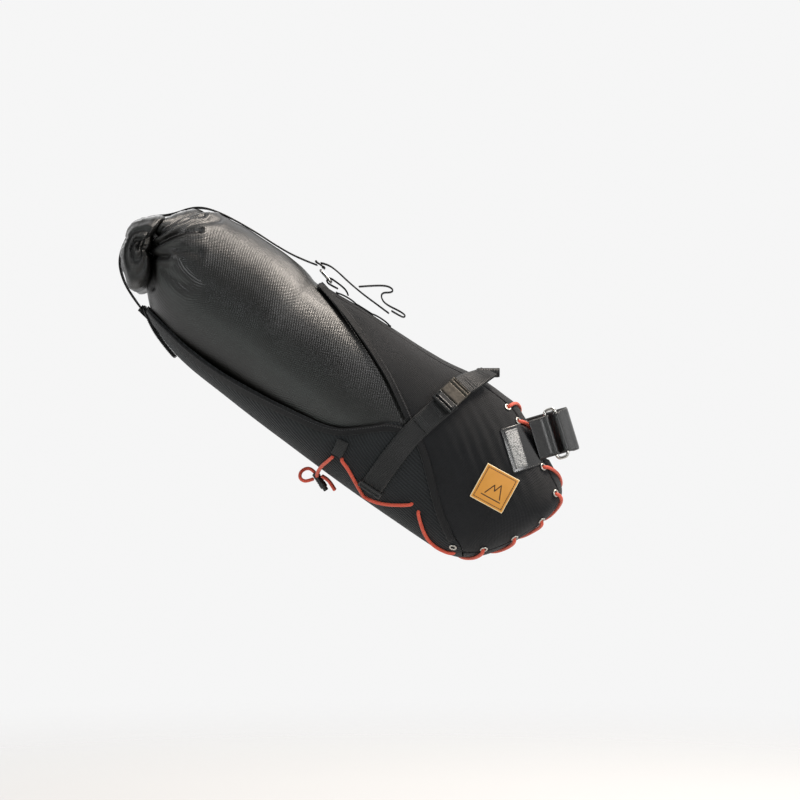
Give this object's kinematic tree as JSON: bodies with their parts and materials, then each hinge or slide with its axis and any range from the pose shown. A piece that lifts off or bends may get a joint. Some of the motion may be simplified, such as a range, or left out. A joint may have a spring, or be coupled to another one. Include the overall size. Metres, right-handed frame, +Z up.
{
  "type": "bicycle saddle bag",
  "caption": "Bikepacking seat pack: a laced holster that straps to the seatpost and saddle rails and holds a roll-top dry bag under a compression strap.",
  "frame": {"origin": "centre of the seatpost strap's loop, on the seatpost's axis", "axes": "+X forward to the saddle's nose, +Y to the rider's left, +Z up, with the bicycle upright"},
  "size_m": [0.5224, 0.184, 0.408],
  "materials": {
    "holster_cloth": "matt woven nylon",
    "belly_cloth": "matt ribbed nylon",
    "binding_tape": "matt grosgrain",
    "dry_bag_cloth": "semi-gloss coated weave",
    "webbing": "satin ribbed webbing",
    "shock_cord": "braided sleeve",
    "leather": "smooth vegetable-tanned",
    "hook_tape": "silver hook tape",
    "steel": "nickel plated wire",
    "eyelet_metal": "pressed nickel",
    "buckle_metal": "satin gunmetal",
    "buckle_plastic": "moulded acetal",
    "hook_aluminium": "black anodised",
    "inner_plastic": "sheet polyethylene",
    "spring_steel": "coiled wire"
  },
  "bodies": {
    "root": {"anchor_tab": "webbing", "belly_binding": "binding_tape", "belly_panel": "belly_cloth", "buckle_socket_left": "buckle_plastic", "buckle_socket_right": "buckle_plastic", "cord_end_left": "shock_cord", "cord_end_right": "shock_cord", "cord_guides": "webbing", "cord_lock_barrel": "buckle_plastic", "cord_lock_spring": "spring_steel", "cord_loop": "shock_cord", "daisy_chain": "webbing", "eyelets_left": "eyelet_metal", "eyelets_right": "eyelet_metal", "flap_binding": "binding_tape", "hook_patch": "hook_tape", "label_patch": "leather", "nose_gusset": "holster_cloth", "nose_lacing": "shock_cord", "rail_slider_left": "buckle_plastic", "rail_slider_right": "buckle_plastic", "rail_strap_fold_left": "webbing", "rail_strap_fold_right": "webbing", "rail_strap_left": "webbing", "rail_strap_right": "webbing", "seatpost_ring": "steel", "seatpost_strap": "webbing", "seatpost_tab": "webbing", "shock_cord_left": "shock_cord", "shock_cord_right": "shock_cord", "side_panel_left": "holster_cloth", "side_panel_right": "holster_cloth", "stiffener_plate": "inner_plastic", "strap_base_left": "holster_cloth", "strap_base_right": "holster_cloth", "top_flap": "holster_cloth", "top_ring": "steel"},
    "tail": {"belly_tail": "belly_cloth", "tail_binding": "binding_tape", "tail_tab": "webbing"},
    "strap": {"compression_strap": "webbing", "strap_hook": "hook_aluminium", "return_strap": "webbing", "strap_tail": "webbing"},
    "dry_bag": {"dry_bag": "dry_bag_cloth", "roll_closure": "dry_bag_cloth", "closure_stiffener": "inner_plastic"},
    "buckle_right": {"buckle_plate_right": "buckle_metal", "rail_loop_right": "webbing"},
    "buckle_left": {"buckle_plate_left": "buckle_metal", "rail_loop_left": "webbing"},
    "lock_plunger": {"cord_lock_plunger": "buckle_plastic"}
  },
  "joints": [
    {"name": "strap_swing", "type": "hinge", "parent": "tail", "child": "strap", "pos_m": [-0.47353, 0, 0.13847], "axis": [0, -1, 0], "range_deg": [0, 150]},
    {"name": "tail_drop", "type": "hinge", "parent": "root", "child": "tail", "pos_m": [-0.43278, 0, 0.08264], "axis": [0, -1, 0], "range_deg": [0, 60]},
    {"name": "dry_bag_slide", "type": "slide", "parent": "root", "child": "dry_bag", "axis": [-0.8291, 0, 0.5591], "range_m": [0, 0.07487]},
    {"name": "rail_buckle_right_slide", "type": "slide", "parent": "root", "child": "buckle_right", "axis": [0.634, 0.507, 0.584], "range_m": [0, 0.025]},
    {"name": "rail_buckle_left_slide", "type": "slide", "parent": "root", "child": "buckle_left", "axis": [0.634, -0.507, 0.584], "range_m": [0, 0.025]},
    {"name": "cord_lock_press", "type": "slide", "parent": "root", "child": "lock_plunger", "axis": [-0.5447, 0, 0.8386], "range_m": [0, 0.004], "deforming": ["cord_lock_spring"]}
  ],
  "couplings": [
    {"joint": "tail_drop", "follows": "dry_bag_slide", "rad_per_m": 13.986},
    {"joint": "strap_swing", "follows": "dry_bag_slide", "rad_per_m": 34.966}
  ]
}
